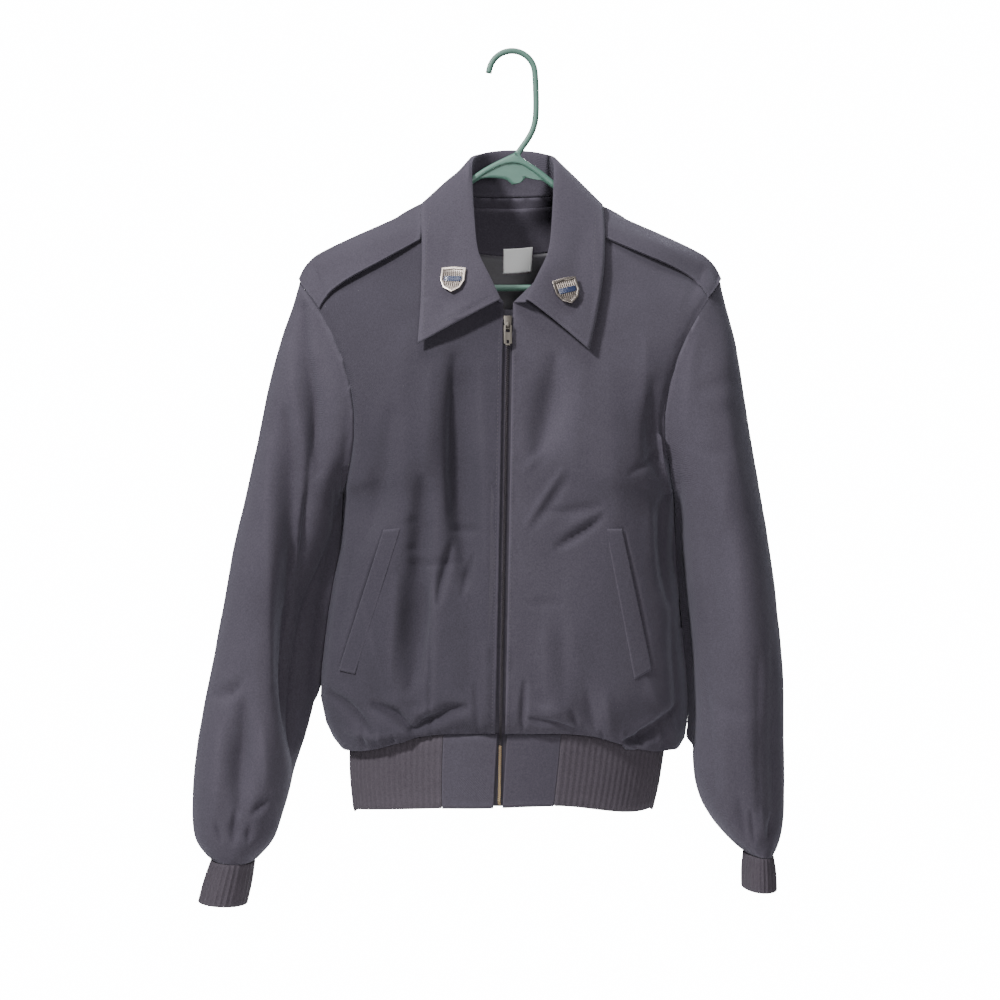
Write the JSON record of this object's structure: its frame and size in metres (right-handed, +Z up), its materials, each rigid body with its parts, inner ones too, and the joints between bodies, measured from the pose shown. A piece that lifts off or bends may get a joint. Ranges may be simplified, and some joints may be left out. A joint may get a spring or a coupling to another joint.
{
  "type": "bomber jacket on a hanger",
  "caption": "Dark zip-front bomber jacket with rib waistband and cuffs and shoulder straps, on a green hanger.",
  "frame": {"origin": "inside top of the hanger's hook, where a rail or a wall hook touches it", "axes": "+Z up along the hanging jacket, -Y out of its front, +X towards the wearer's left sleeve"},
  "size_m": [0.607, 0.1935, 0.8788],
  "materials": {
    "twill": "matt woven",
    "rib_knit": "matt knit",
    "lining": "soft sheen",
    "white_label": "matt",
    "zip_tape": "matt woven",
    "brass": "worn, aged",
    "pin_metal": "polished, worn",
    "green_plastic": "satin"
  },
  "bodies": {
    "jacket": {"front_left": "twill", "front_right": "twill", "back": "twill", "sleeve_left": "twill", "sleeve_right": "twill", "cuff_left": "rib_knit", "cuff_right": "rib_knit", "waistband_front_left": "twill", "waistband_front_right": "twill", "waistband_rib": "rib_knit", "collar": "twill", "neck_tape": "twill", "back_facing": "twill", "lining_back": "lining", "neck_label": "white_label", "epaulet_left": "twill", "epaulet_right": "twill", "pocket_welt_left": "twill", "pocket_welt_right": "twill", "zip_tape": "zip_tape", "zip_chain": "brass", "zip_slider": "brass", "collar_badge_left": "pin_metal", "collar_badge_right": "pin_metal", "hanger": "green_plastic"},
    "zip_pull": {"zip_pull_tab": "brass"}
  },
  "joints": [
    {"name": "zip_pull_swing", "type": "hinge", "parent": "jacket", "child": "zip_pull", "pos_m": [-0.00244, -0.07491, -0.28444], "axis": [-1, 0, 0], "range_deg": [0, 150]}
  ]
}
